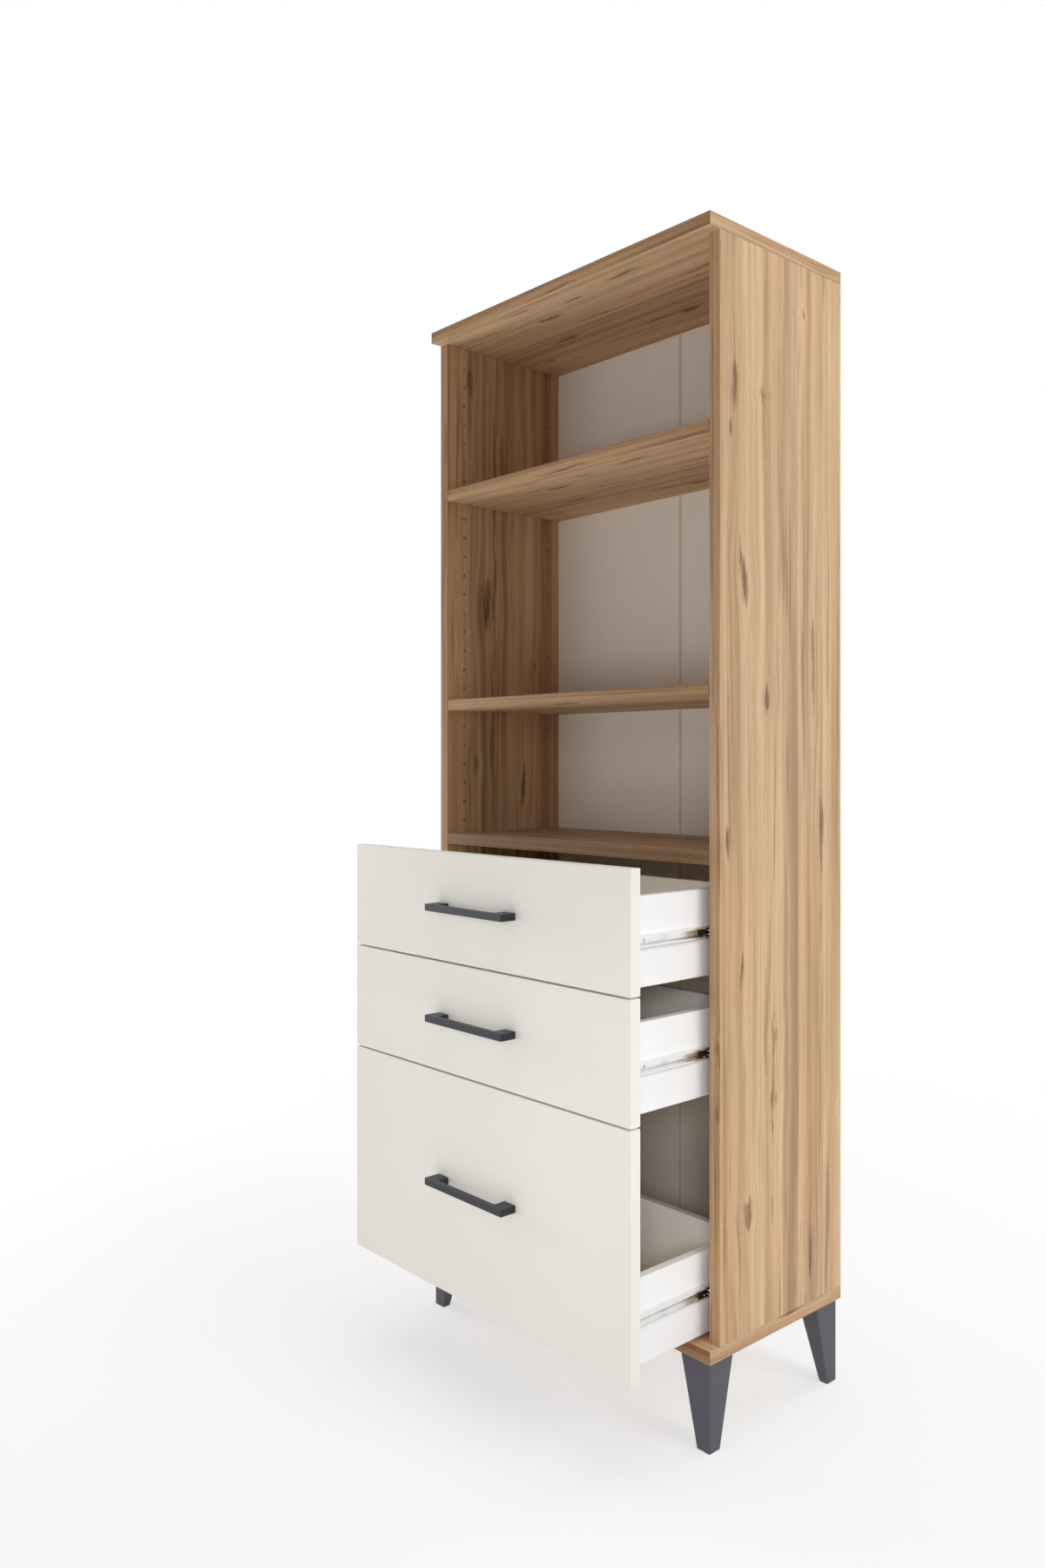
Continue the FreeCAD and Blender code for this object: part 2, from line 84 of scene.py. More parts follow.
class Finish:
    """A finish built from nodes on the piece's own coordinates, in metres."""

    def __init__(self, name, colour, roughness, metallic=0.0, specular=0.5):
        self.material = bpy.data.materials.new(name)
        self.material.use_nodes = True
        self.tree = self.material.node_tree
        self.shader = self.tree.nodes["Principled BSDF"]
        self.shader.inputs["Base Color"].default_value = colour
        self.shader.inputs["Roughness"].default_value = roughness
        self.shader.inputs["Metallic"].default_value = metallic
        self.shader.inputs["Specular IOR Level"].default_value = specular
        coordinates = self.add("ShaderNodeTexCoord")
        self.place = coordinates.outputs["Object"]
        self.x, self.y, self.z = self.split(self.place)
        self.nx, self.ny, self.nz = self.split(coordinates.outputs["Normal"])

    def add(self, kind, **settings):
        node = self.tree.nodes.new(kind)
        for key, value in settings.items():
            setattr(node, key, value)
        return node

    def feed(self, socket, value):
        """Joins a socket to another node's output, or sets it to a plain value."""
        if isinstance(value, bpy.types.NodeSocket):
            self.tree.links.new(value, socket)
        else:
            socket.default_value = value

    def split(self, vector):
        node = self.add("ShaderNodeSeparateXYZ")
        self.feed(node.inputs[0], vector)
        return node.outputs[0], node.outputs[1], node.outputs[2]

    def point(self, x, y, z):
        node = self.add("ShaderNodeCombineXYZ")
        for socket, value in zip(node.inputs, (x, y, z)):
            self.feed(socket, value)
        return node.outputs[0]

    def math(self, operation, *values):
        node = self.add("ShaderNodeMath", operation=operation)
        for socket, value in zip(node.inputs, values):
            self.feed(socket, value)
        return node.outputs[0]

    def times(self, a, b):
        return self.math("MULTIPLY", a, b)

    def plus(self, a, b):
        return self.math("ADD", a, b)

    def minus(self, a, b):
        return self.math("SUBTRACT", a, b)

    def size_of(self, value):
        return self.math("ABSOLUTE", value)

    def larger(self, a, b):
        return self.math("MAXIMUM", a, b)

    def vary(self, value, by, base):
        """by * value + base."""
        return self.math("MULTIPLY_ADD", value, by, base)

    def fade(self, value, start, end, low=0.0, high=1.0):
        """A smooth step from low at start to high at end."""
        node = self.add("ShaderNodeMapRange", interpolation_type="SMOOTHSTEP")
        for socket, number in zip(node.inputs, (value, start, end, low, high)):
            self.feed(socket, number)
        return node.outputs[0]

    def noise(self, vector, scale=1.0, detail=2.0, roughness=0.5):
        node = self.add("ShaderNodeTexNoise")
        self.feed(node.inputs["Vector"], vector)
        node.inputs["Scale"].default_value = scale
        node.inputs["Detail"].default_value = detail
        node.inputs["Roughness"].default_value = roughness
        return node.outputs["Fac"]

    def grain(self, s, t, along, across, seed, detail=2.0, roughness=0.5):
        """Noise stretched along the grain: along and across are its waves in a metre of s and of t."""
        place = self.point(self.times(s, along), self.times(t, across), seed)
        return self.noise(place, 1.0, detail, roughness)

    def brushed(self, x, y, z):
        """Noise with a number of waves in a metre of its own along each axis."""
        return self.noise(self.point(self.times(self.x, x), self.times(self.y, y), self.times(self.z, z)))

    def cells(self, vector, scale):
        """A random value for each cell of a Voronoi pattern."""
        node = self.add("ShaderNodeTexVoronoi")
        self.feed(node.inputs["Vector"], vector)
        node.inputs["Scale"].default_value = scale
        return self.split(node.outputs["Color"])[0]

    def blend(self, share, first, second, kind="MIX"):
        node = self.add("ShaderNodeMix", data_type="RGBA", blend_type=kind)
        for socket, value in zip((node.inputs[0], node.inputs[6], node.inputs[7]), (share, first, second)):
            self.feed(socket, value)
        return node.outputs[2]

    def bright(self, colour, factor):
        """The colour with its value multiplied by a factor that may vary over the surface."""
        node = self.add("ShaderNodeHueSaturation")
        self.feed(node.inputs["Value"], factor)
        self.feed(node.inputs["Color"], colour)
        return node.outputs[0]

    def planks(self, value, stops, length, soft):
        """A colour for each stretch of value, 0 to 1: stops are (start, colour) in metres of length, and
        soft is the width over which one colour passes into the next."""
        node = self.add("ShaderNodeValToRGB")
        ramp = node.color_ramp
        ramp.elements.remove(ramp.elements[1])
        ramp.elements[0].position = 0.0
        ramp.elements[0].color = stops[0][1]
        for (start, colour), (_, last) in zip(stops[1:], stops):
            ramp.elements.new((start - soft / 2) / length).color = last
            ramp.elements.new((start + soft / 2) / length).color = colour
        self.feed(node.inputs[0], value)
        return node.outputs[0]

    def bump(self, height, distance, strength):
        node = self.add("ShaderNodeBump")
        node.inputs["Strength"].default_value = strength
        node.inputs["Distance"].default_value = distance
        self.feed(node.inputs["Height"], height)
        self.feed(self.shader.inputs["Normal"], node.outputs[0])

    def colour(self, value):
        self.feed(self.shader.inputs["Base Color"], value)

    def rough(self, value):
        self.feed(self.shader.inputs["Roughness"], value)

    def facing(self, normal):
        """1 on faces that look along an axis, given that part of the normal."""
        return self.math("GREATER_THAN", normal, FACING)

    def behind(self, rear):
        """1 on the unbanded edge at a board's rear."""
        return self.math("GREATER_THAN", self.y, rear - REAR_EDGE)

    def inside(self, low, high):
        """1 on walls of holes and grooves, which lie under every face of the board's box."""
        share = None
        for value, a, b in zip((self.x, self.y, self.z), low, high):
            off = self.size_of(self.minus(value, (a + b) / 2))
            within = self.math("LESS_THAN", off, (b - a) / 2 - HOLE_DEPTH)
            share = within if share is None else self.times(share, within)
        return share

    def wear_to(self, *names):
        """Dresses CAD nodes in this finish."""
        for name in names:
            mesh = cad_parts[name].data
            mesh.materials.clear()
            mesh.materials.append(self.material)


# The boards' print: (start, colour) of each plank across it, and (start, stop, strength) of its sawn bands

PLANKS = [(0.000, TAN), (0.014, BROWN), (0.034, TAN), (0.050, STRAW), (0.074, TAN), (0.084, STRAW),
          (0.118, HONEY), (0.128, STRAW), (0.139, MAUVE), (0.173, STRAW), (0.186, HONEY), (0.196, MAUVE),
          (0.207, TAN), (0.232, STRAW), (0.252, HONEY), (0.275, STRAW)]
LEFT_PLANKS = [(0.000, TAN), (0.014, STRAW), (0.042, TAN), (0.052, STRAW), (0.074, UMBER), (0.084, MAUVE),
               (0.106, UMBER), (0.111, BROWN), (0.132, TAN), (0.150, BROWN), (0.172, TAN), (0.192, BROWN),
               (0.212, LINE), (0.226, UMBER), (0.240, BROWN), (0.270, TAN)]
SHELF_PLANKS = [(0.000, STRAW), (0.030, TAN), (0.048, STRAW), (0.072, TAN), (0.092, HONEY), (0.112, BROWN),
                (0.128, UMBER), (0.140, BROWN), (0.158, LINE), (0.174, UMBER), (0.184, BROWN), (0.204, HONEY),
                (0.232, BROWN), (0.256, TAN), (0.280, BROWN)]
SAWN = ((0.012, 0.037, 1.0), (0.139, 0.174, 0.5))
LEFT_SAWN = ((0.012, 0.044, 0.8), (0.078, 0.108, 1.0))
STREAKS = [(0.0, UMBER), (0.12, LINE), (0.32, BROWN), (0.55, TAN), (0.80, STRAW)]
STREAK_LOW, STREAK_SPAN = 0.31, 0.38     # the stretch of the streaks' noise that takes up their tones

REPEAT = 0.300             # width of the print, which then turns back
EDGE_SHIFT = 0.117         # how much further over the print a front edge's band is cut
END_SHIFT = 0.180          # where on the print a shelf's end is cut
DRIFT = 0.008              # how far the planks wander sideways
FEATHER = 0.004            # how far their borders fray
PLANK_BLUR = 0.0022        # and how soft they are
SAW_WAVES = 1350.0         # radians of saw marks in a metre
SAW_BORDER = 0.004
STREAK_SHARE = 0.54        # how strongly each mark covers what is under it
STAIN_SHARE = 0.62
CRACK_SHARE = 0.66
SPECK_SHARE = 0.55
SEAM_SHARE = 0.30
FINE_LINES = ((95.0, 0.8, 0.022, 0.60, 2.7),       # waves across and along, width, share, seed
              (230.0, 1.3, 0.040, 0.48, 7.7))

# Knots of the print: along, across, length, width, lean, darkness

RIGHT_KNOTS = [(1.41, 0.032, 0.05, 0.0076, 0.02, 0.75), (1.356, 0.024, 0.018, 0.0051, 0, 0.7),
               (1.416, 0.093, 0.009, 0.0085, 0, 0.6), (1.545, 0.186, 0.007, 0.0051, 0, 0.6),
               (1.16, 0.05, 0.048, 0.011, -0.17, 0.85), (0.999, 0.1025, 0.024, 0.0076, 0, 0.85),
               (1.043, 0.211, 0.085, 0.0071, -0.03, 0.6), (0.812, 0.23, 0.075, 0.0059, 0, 0.7),
               (0.802, 0.015, 0.028, 0.0051, 0, 0.7), (0.626, 0.045, 0.028, 0.0044, 0.15, 0.75),
               (0.527, 0.12, 0.02, 0.0068, 0.1, 0.7), (0.446, 0.116, 0.026, 0.0068, 0, 0.7),
               (0.3, 0.06, 0.022, 0.0102, 0.08, 0.7), (0.215, 0.205, 0.05, 0.0068, 0, 0.6),
               (0.485, 0.117, 0.11, 0.0042, 0.0, 0.65), (0.405, 0.288, 0.02, 0.0100, 0.0, 0.7)]
LEFT_KNOTS = [(1.300, 0.104, 0.300, 0.0042, 0.0, 0.65), (0.960, 0.100, 0.160, 0.0040, 0.0, 0.6),
              (1.181, 0.087, 0.056, 0.0136, 0.04, 0.8), (0.861, 0.17, 0.045, 0.0068, 0.1, 0.85),
              (1.56, 0.05, 0.03, 0.0076, 0, 0.6), (1.44, 0.12, 0.06, 0.0068, 0, 0.5),
              (1.08, 0.2, 0.012, 0.0051, 0, 0.7), (0.9, 0.06, 0.02, 0.0068, 0, 0.5),
              (0.42, 0.11, 0.04, 0.0102, 0.05, 0.7)]
SHELF_KNOTS = [(0.110, 0.030, 0.046, 0.0042, 0.02, 0.7), (-0.004, 0.045, 0.030, 0.0030, -0.03, 0.8),
               (-0.105, 0.022, 0.036, 0.0034, 0.02, 0.7), (-0.086, 0.072, 0.030, 0.0085, 0.05, 0.85),
               (-0.135, 0.156, 0.034, 0.0060, -0.04, 0.85), (0.040, 0.200, 0.060, 0.0050, 0.03, 0.8),
               (0.090, 0.206, 0.030, 0.0085, 0.0, 0.85), (-0.230, 0.208, 0.014, 0.0065, 0.0, 0.8),
               (0.220, 0.100, 0.070, 0.0036, -0.02, 0.7), (-0.020, 0.118, 0.080, 0.0030, 0.01, 0.6),
               (0.190, 0.240, 0.050, 0.0040, 0.0, 0.6), (-0.200, 0.050, 0.060, 0.0026, 0.0, 0.6)]

# Boards that wear the print

SIDE_PANELS = (  # name, the X of one face, seed, knots, tint of the band, planks, sawn bands
    ("right_side", 0.300, 11.0, RIGHT_KNOTS, (0.84, 0.77, 0.69, 1.0), PLANKS, SAWN),
    ("left_side", -0.282, 23.0, LEFT_KNOTS, (0.85, 0.75, 0.65, 1.0), LEFT_PLANKS, LEFT_SAWN))
SHELVES = (  # node, seed, shift of the print, tint of the band (darker on the lower and fixed shelves as painted shade), tone of the whole board (below 1 on the fixed shelf as painted shade)
    ("top_board", 31.0, 0.0, (0.80, 0.73, 0.65, 1.0), 1.0),
    ("upper_shelf", 31.0, 0.0, (0.84, 0.76, 0.68, 1.0), 1.0),
    ("lower_shelf", 37.0, 0.070, (0.68, 0.62, 0.54, 1.0), 1.0),
    ("fixed_shelf", 41.0, 0.110, (0.56, 0.49, 0.42, 1.0), 0.78),
    ("bottom_board", 47.0, 0.050, (0.78, 0.71, 0.63, 1.0), 1.0))


# Finishes

def chip_colour(f):
    """Chipboard: flakes about 2 mm long, each of its own tone."""
    flake = f.cells(f.place, 520.0)
    colour = f.blend(flake, DARK_FLAKE, PALE_FLAKE)
    return f.bright(colour, f.vary(f.noise(f.place, 1400.0), by=0.3, base=0.84))


def places_on_board(f, low, grain, face):
    """Where a point lies on a print that wraps over the board's edges.

    s runs along the grain. t runs across it and round the front edge: the depth behind the front plus the
    distance from one face. On a shelf's ends s follows the depth. Also gives that depth, and 1 on front
    edges.
    """
    depth = f.minus(f.y, low[1])
    off_face = f.size_of(f.minus(f.x if grain == "z" else f.z, face))
    edge = f.math("LESS_THAN", f.ny, -FACING)
    t = f.vary(edge, EDGE_SHIFT, f.plus(depth, off_face))
    if grain == "z":
        return f.z, t, depth, edge
    end = f.facing(f.size_of(f.nx))
    elsewhere = f.minus(1.0, end)
    s = f.plus(f.times(f.x, elsewhere), f.times(f.y, end))
    t = f.plus(f.times(t, elsewhere), f.times(end, f.plus(off_face, END_SHIFT)))
    return s, t, depth, edge


def knots_of_print(f, s, t, seed, knots):
    """Knots with frayed edges, and how they bow the print.

    With u and v as the distances along and across a knot, in shares of its length and width, it is the lens
    u * u + abs(v) < 1, and noise shifts that border. It pulls t towards its middle by half the distance,
    over a bell exp(-0.6 * (u * u + v * v / 4)). Gives the noise, the pull, the knots and their dark hearts.
    """
    fray = f.grain(s, t, along=30.0, across=250.0, seed=seed, detail=4.0, roughness=0.60)
    bend_s = f.vary(f.grain(s, t, along=14.0, across=90.0, seed=seed + 1.9), by=0.050, base=-0.025)
    bend_t = f.vary(f.grain(s, t, along=13.0, across=80.0, seed=seed + 6.7), by=0.014, base=-0.007)
    knot_s = f.plus(s, bend_s)
    knot_t = f.plus(t, bend_t)
    pull = knot = heart = 0.0
    for along, across, length, width, lean, darkness in knots:
        ds = f.minus(knot_s, along)
        dt = f.minus(knot_t, across)
        u = f.times(ds, 1.0 / length)
        v = f.times(f.vary(ds, -lean, dt), 1.0 / width)
        uu = f.times(u, u)
        bell = f.math("EXPONENT", f.times(f.vary(v, f.times(v, 0.25), uu), -0.6))
        pull = f.plus(pull, f.times(f.times(dt, bell), -0.5))
        ragged = f.vary(fray, 1.5, f.plus(f.plus(uu, f.size_of(v)), -0.75))
        knot = f.larger(knot, f.fade(ragged, start=1.20, end=0.50, high=darkness))
        heart = f.larger(heart, f.fade(ragged, start=0.72, end=0.30, high=darkness))
    return fray, pull, knot, heart


def saw_marks(f, s, t, seed, print_at, bands, fray):
    """Marks of a band saw across the grain: a sine along s, shaken by noise, on some bands of the print."""
    shake = f.times(f.grain(s, t, along=9.0, across=18.0, seed=9.0 * seed), 14.0)
    saw = f.math("SINE", f.vary(s, SAW_WAVES, shake))
    sawn = 0.0
    for start, stop, strength in bands:
        begin = f.fade(print_at, start, start + SAW_BORDER, high=strength)
        sawn = f.plus(sawn, f.times(begin, f.fade(print_at, stop, stop - SAW_BORDER)))
    patchy = f.fade(fray, start=0.30, end=0.52)
    return f.times(f.times(f.fade(saw, start=-0.2, end=0.9), sawn), patchy)


def fine_lines(f, colour, s, t, wander, seed):
    """Thin brown lines where a noise stretched along the grain crosses its middle value."""
    for across, along, width, share, kind in FINE_LINES:
        level = f.grain(s, wander, along, across, seed + kind, detail=1.0)
        line = f.fade(f.size_of(f.plus(level, -0.5)), 0.0, width, 1.0, 0.0)
        strong = f.fade(f.grain(s, t, along=2.2, across=70.0, seed=seed + 2 * kind), start=0.36, end=0.66)
        colour = f.blend(f.times(f.times(line, strong), share), colour, LINE)
    return colour


def printed_board(name, node, grain, face, seed, knots, band, planks, sawn, shift=0.0, tone=1.0):
    """A melamine board printed as rustic pine.

    The print is soft planks of several tones under streaks, short fibres, saw marks, thin lines, stains,
    short cracks, specks and fibrous knots, all in s and t as places_on_board gives them. wander is t with a
    slow drift and the knots' pull. The front edges' band multiplies the print, and holes and rear edges are
    bare chipboard. A darker band on the lower and fixed shelves and a tone below 1 are painted shade.
    """
    low, high = [np.array(corner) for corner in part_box(node)]
    f = Finish(name, TAN, 0.5, specular=0.2)
    s, t, depth, edge = places_on_board(f, low, grain, face)
    fray, pull, knot, heart = knots_of_print(f, s, t, seed, knots)

    drift = f.grain(s, t, along=1.7, across=7.0, seed=seed)
    wander = f.plus(f.vary(drift, DRIFT, f.plus(t, -DRIFT / 2)), pull)
    feather = f.grain(s, t, along=9.0, across=420.0, seed=seed + 3.1)
    print_at = f.math("PINGPONG", f.vary(feather, FEATHER, f.plus(wander, shift - FEATHER / 2)), REPEAT)
    colour = f.planks(f.times(print_at, 1.0 / REPEAT), planks, REPEAT, PLANK_BLUR)
    streak = f.grain(s, wander, along=0.8, across=42.0, seed=seed + 7.1, detail=5.0, roughness=0.65)
    streak = f.vary(streak, by=1.0 / STREAK_SPAN, base=-STREAK_LOW / STREAK_SPAN)
    colour = f.blend(STREAK_SHARE, colour, f.planks(streak, STREAKS, 1.0, 0.20))

    slow = f.grain(s, wander, along=3.2, across=30.0, seed=seed + 5.9, detail=3.0)
    fine = f.grain(s, wander, along=7.0, across=1100.0, seed=seed + 1.3)
    fibre = f.grain(s, wander, along=120.0, across=360.0, seed=seed + 8.3, detail=3.0, roughness=0.75)
    marks = saw_marks(f, s, t, seed, print_at, sawn, fray)
    edge_line = f.grain(s, t, along=1.2, across=330.0, seed=seed + 2.2)
    value = f.times(f.vary(fine, by=0.20, base=0.90), f.vary(slow, by=0.36, base=0.80))
    # tone below 1 darkens the whole board: painted shade on the fixed shelf
    value = f.times(value, f.vary(fibre, by=0.26 * tone, base=0.87 * tone))
    value = f.times(value, f.vary(marks, by=-0.08, base=1.0))
    value = f.times(value, f.vary(f.times(edge, f.plus(edge_line, -0.5)), by=1.2, base=1.0))
    colour = fine_lines(f, f.bright(colour, value), s, t, wander, seed)

    stain = f.grain(s, wander, along=2.3, across=72.0, seed=seed + 3.7, detail=3.0, roughness=0.6)
    colour = f.blend(f.fade(stain, start=0.57, end=0.70, high=STAIN_SHARE), colour, UMBER)
    crack = f.grain(s, wander, along=9.0, across=230.0, seed=seed + 4.6, roughness=0.55)
    cracked = f.fade(f.grain(s, t, along=4.0, across=20.0, seed=seed + 6.1, detail=1.0), start=0.50, end=0.64)
    split = f.times(f.fade(crack, start=0.63, end=0.72), cracked)
    colour = f.blend(f.times(split, CRACK_SHARE), colour, UMBER)
    speck = f.grain(s, t, along=120.0, across=460.0, seed=seed + 9.2, detail=1.0)
    colour = f.blend(f.fade(speck, start=0.72, end=0.78, high=SPECK_SHARE), colour, UMBER)
    strand = f.grain(s, t, along=14.0, across=620.0, seed=seed + 5.3, roughness=0.6)
    strand = f.fade(strand, start=0.38, end=0.60)
    colour = f.blend(f.times(knot, f.vary(strand, by=0.55, base=0.40)), colour, UMBER)
    colour = f.blend(f.times(heart, f.vary(strand, by=0.50, base=0.42)), colour, BARK)

    seam = f.math("COMPARE", depth, BAND_JOINT_AT, 0.16 * MM)
    colour = f.blend(f.times(seam, SEAM_SHARE), colour, UMBER)
    # band: the edge tape's darker print, and on the lower and fixed shelves also painted shade
    colour = f.blend(edge, colour, band, "MULTIPLY")
    raw = f.larger(f.inside(low, high), f.behind(high[1]))
    f.colour(f.blend(raw, colour, chip_colour(f)))
    f.rough(f.vary(fine, by=0.16, base=0.46))
    relief = f.vary(fine, 0.5, f.vary(marks, -0.5, f.times(split, -1.0)))
    f.bump(relief, 0.25 * MM, 0.5)
    f.wear_to(node)


def plain_board(name, node, colour, band_colour, roughness):
    """Plain melamine: a fine pearl texture, faint cloudiness and a hairline where the edge band begins."""
    low, high = [np.array(corner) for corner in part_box(node)]
    f = Finish(name, colour, roughness, specular=0.3)
    cloud = f.noise(f.place, 7.0, 3.0)
    pearl = f.noise(f.place, 1500.0, 2.0)
    middle, half = (low + high) / 2, (high - low) / 2
    thin = int(np.argmin(half))
    gaps = [f.minus(half[axis], f.size_of(f.minus(value, middle[axis])))
            for axis, value in enumerate((f.x, f.y, f.z)) if axis != thin]
    border = f.math("MINIMUM", *gaps)
    band = f.math("LESS_THAN", border, BAND_JOINT_AT - 0.05 * MM)
    joint = f.math("COMPARE", border, BAND_JOINT_AT, 0.11 * MM)
    tone = f.blend(band, colour, band_colour)
    tone = f.bright(tone, f.vary(cloud, 0.035, f.vary(pearl, by=0.03, base=0.9675)))
    tone = f.blend(f.times(joint, 0.22), tone, BAND_JOINT)
    f.colour(f.blend(f.inside(low, high), tone, chip_colour(f)))
    f.rough(f.vary(pearl, 0.14, f.vary(cloud, by=0.06, base=roughness - 0.10)))
    f.bump(pearl, 0.04 * MM, 0.35)
    f.wear_to(node)


def hardboard(name, nodes, colour, lacquered):
    """Thin fibreboard: lacquered on the face that looks along a vector, bare brown fibre elsewhere."""
    f = Finish(name, colour, 0.5, specular=0.35)
    cloud = f.noise(f.place, 5.0, 3.0)
    fine = f.noise(f.place, 1200.0, 2.0)
    fibre = f.noise(f.place, 260.0, 5.0, 0.65)
    bare = f.blend(f.fade(fibre, start=0.35, end=0.65), DARK_FIBRE, PALE_FIBRE)
    lacquer = f.bright(colour, f.vary(cloud, 0.05, f.vary(fine, by=0.03, base=0.96)))
    axis = int(np.argmax(np.abs(lacquered)))
    front = f.facing(f.times((f.nx, f.ny, f.nz)[axis], lacquered[axis]))
    f.colour(f.blend(front, bare, lacquer))
    f.rough(f.vary(fine, by=0.2, base=0.36))
    f.bump(f.vary(fibre, 0.5, fine), 0.05 * MM, 0.4)
    f.wear_to(*nodes)


def rolled_zinc():
    """Zinc-plated strip: faint lines of rolling along the runner, a slight cloudiness, and a duller tone on
    the pads pressed up in the channels."""
    f = Finish("bright_zinc", ZINC, 0.24, metallic=1.0)
    roll = f.brushed(900.0, 6.0, 900.0)
    cloud = f.noise(f.place, 90.0, 2.0)
    pad = f.math("COMPARE", f.size_of(f.x), CHANNEL_PAD_FACE, 0.08 * MM)
    tone = f.vary(pad, -0.09, f.vary(cloud, 0.06, f.vary(roll, by=0.05, base=0.945)))
    f.colour(f.bright(ZINC, tone))
    f.rough(f.vary(roll, 0.10, f.vary(cloud, by=0.08, base=0.15)))
    f.wear_to(*["drawer_%d_channels" % n for n in DRAWERS], *["panel_rails_%d" % n for n in DRAWERS])


def powder_coat():
    """Anthracite powder coat: a fine even grain and a slight cloudiness."""
    f = Finish("anthracite_powder_coat", ANTHRACITE, 0.46, specular=0.4)
    grain = f.noise(f.place, 2600.0, 2.0)
    cloud = f.noise(f.place, 60.0, 2.0)
    f.colour(f.bright(ANTHRACITE, f.vary(grain, 0.30, f.vary(cloud, by=0.16, base=0.77))))
    f.rough(f.vary(grain, by=0.24, base=0.34))
    f.bump(grain, 0.06 * MM, 0.55)
    f.wear_to(*["drawer_%d_handle" % n for n in DRAWERS])


def moulded_plastic(name, colour, roughness, *nodes):
    """Moulded plastic with a fine spark-eroded grain."""
    f = Finish(name, colour, roughness, specular=0.4)
    grain = f.noise(f.place, 1800.0, 3.0, 0.6)
    cloud = f.noise(f.place, 45.0, 2.0)
    f.colour(f.bright(colour, f.vary(grain, 0.16, f.vary(cloud, by=0.12, base=0.86))))
    f.rough(f.vary(grain, by=0.20, base=roughness - 0.10))
    f.bump(grain, 0.05 * MM, 0.5)
    f.wear_to(*nodes)


def plated_steel(name, colour, roughness, *nodes):
    """Plated steel: a slight cloudiness and fine scratches."""
    f = Finish(name, colour, roughness, metallic=1.0)
    cloud = f.noise(f.place, 320.0, 3.0)
    scratch = f.brushed(900.0, 2400.0, 900.0)
    f.colour(f.bright(colour, f.vary(cloud, 0.22, f.vary(scratch, by=0.10, base=0.84))))
    f.rough(f.vary(cloud, 0.18, f.vary(scratch, by=0.10, base=roughness - 0.14)))
    f.bump(scratch, 0.02 * MM, 0.4)
    f.wear_to(*nodes)
    return f


def dress_boards():
    """Dresses the carcass's and the drawers' boards."""
    for side, face, seed, knots, band, planks, sawn in SIDE_PANELS:
        printed_board("rustic_pine_" + side, side + "_panel", "z", face, seed, knots, band, planks, sawn)
    for node, seed, shift, band, tone in SHELVES:
        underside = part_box(node)[0][2]
        printed_board("rustic_pine_" + node, node, "x", underside, seed, SHELF_KNOTS, band, SHELF_PLANKS, SAWN,
                      shift, tone)
    for n in DRAWERS:
        plain_board("cream_melamine_%d" % n, "drawer_%d_front" % n, CREAM, CREAM_BAND, 0.44)
        # the backs wear a warmer white: painted warm bounce light
        for part, tone in (("left_side", WHITE), ("right_side", WHITE), ("back", BOUNCE_WARMED_WHITE)):
            plain_board("white_melamine_%d_%s" % (n, part), "drawer_%d_%s" % (n, part), tone, WHITE_BAND,
                        0.36)
    hardboard("lacquered_back", ("back_sheet_left", "back_sheet_right"), BACK_LACQUER, (0.0, -1.0, 0.0))
    hardboard("white_drawer_bottom", ["drawer_%d_bottom" % n for n in DRAWERS], BOTTOM_LACQUER,
              (0.0, 0.0, 1.0))


def dress_fittings():
    """Dresses the fittings and returns the steel of the fixings."""
    rolled_zinc()
    powder_coat()
    moulded_plastic("cream_joint_strip", srgb(214, 206, 190), 0.45, "back_joint_strip")
    moulded_plastic("dark_grey_leg", srgb(80, 79, 88), 0.5, "leg_front_left", "leg_front_right",
                    "leg_rear_left", "leg_rear_right")
    moulded_plastic("black_cage_strip", srgb(26, 26, 28), 0.45, *["ball_cages_%d" % n for n in DRAWERS])
    moulded_plastic("tan_plug", srgb(192, 154, 112), 0.5, "screw_plugs")
    plated_steel("polished_ball_steel", srgb(226, 228, 230), 0.14, *["runner_balls_%d" % n for n in DRAWERS])
    fixings = ["carcass_screws", "shelf_cam_fittings", "shelf_pins", "leg_studs"]
    for n in DRAWERS:
        for part in ("handle_screws", "front_fittings", "corner_screws"):
            fixings.append("drawer_%d_%s" % (n, part))
    return plated_steel("plated_fixing_steel", srgb(205, 204, 198), 0.34, *fixings)


# Small fittings

HEAD_GRID = 25                                   # points across a head
CROSS_ARM, CROSS_REACH, CROSS_SLOPE = 0.13, 0.62, 0.10     # of the recess, in shares of the head's radius
HEAD_FLOOR = 0.2 * MM                            # metal left under a recess
RUNNER_SCREW = dict(radius=2.05 * MM, rise=0.3 * MM, sunk=0.55 * MM, recess=0.5 * MM)
DRAWER_CAM = dict(radius=7.3 * MM, rise=0.35 * MM, sunk=0.0, recess=1.4 * MM)
HANDLE_SCREW = dict(radius=3.9 * MM, rise=0.5 * MM, sunk=0.0, recess=0.9 * MM)
SHELF_CAM = dict(radius=7.3 * MM, rise=0.35 * MM, sunk=0.0, recess=1.6 * MM)
RUNNER_HOLE_FRONT = 37.0 * MM                    # from the channel's front end
RUNNER_HOLE_REAR = 52.0 * MM                     # from its rear end
CHANNEL_DEPTH = 9.6 * MM
RUNNER_HEAD_OUT = 0.7 * MM                       # from the drawer's side
DRAWER_CAM_BACK = 24.0 * MM                      # from the box's front
HANDLE_SCREW_IN = 4.0 * MM                       # from the outside of the screw heads
SHELF_CAM_IN = 34.0 * MM                         # from the fixed shelf's ends
SHELF_CAM_ROWS = (-66.0 * MM, 86.0 * MM)


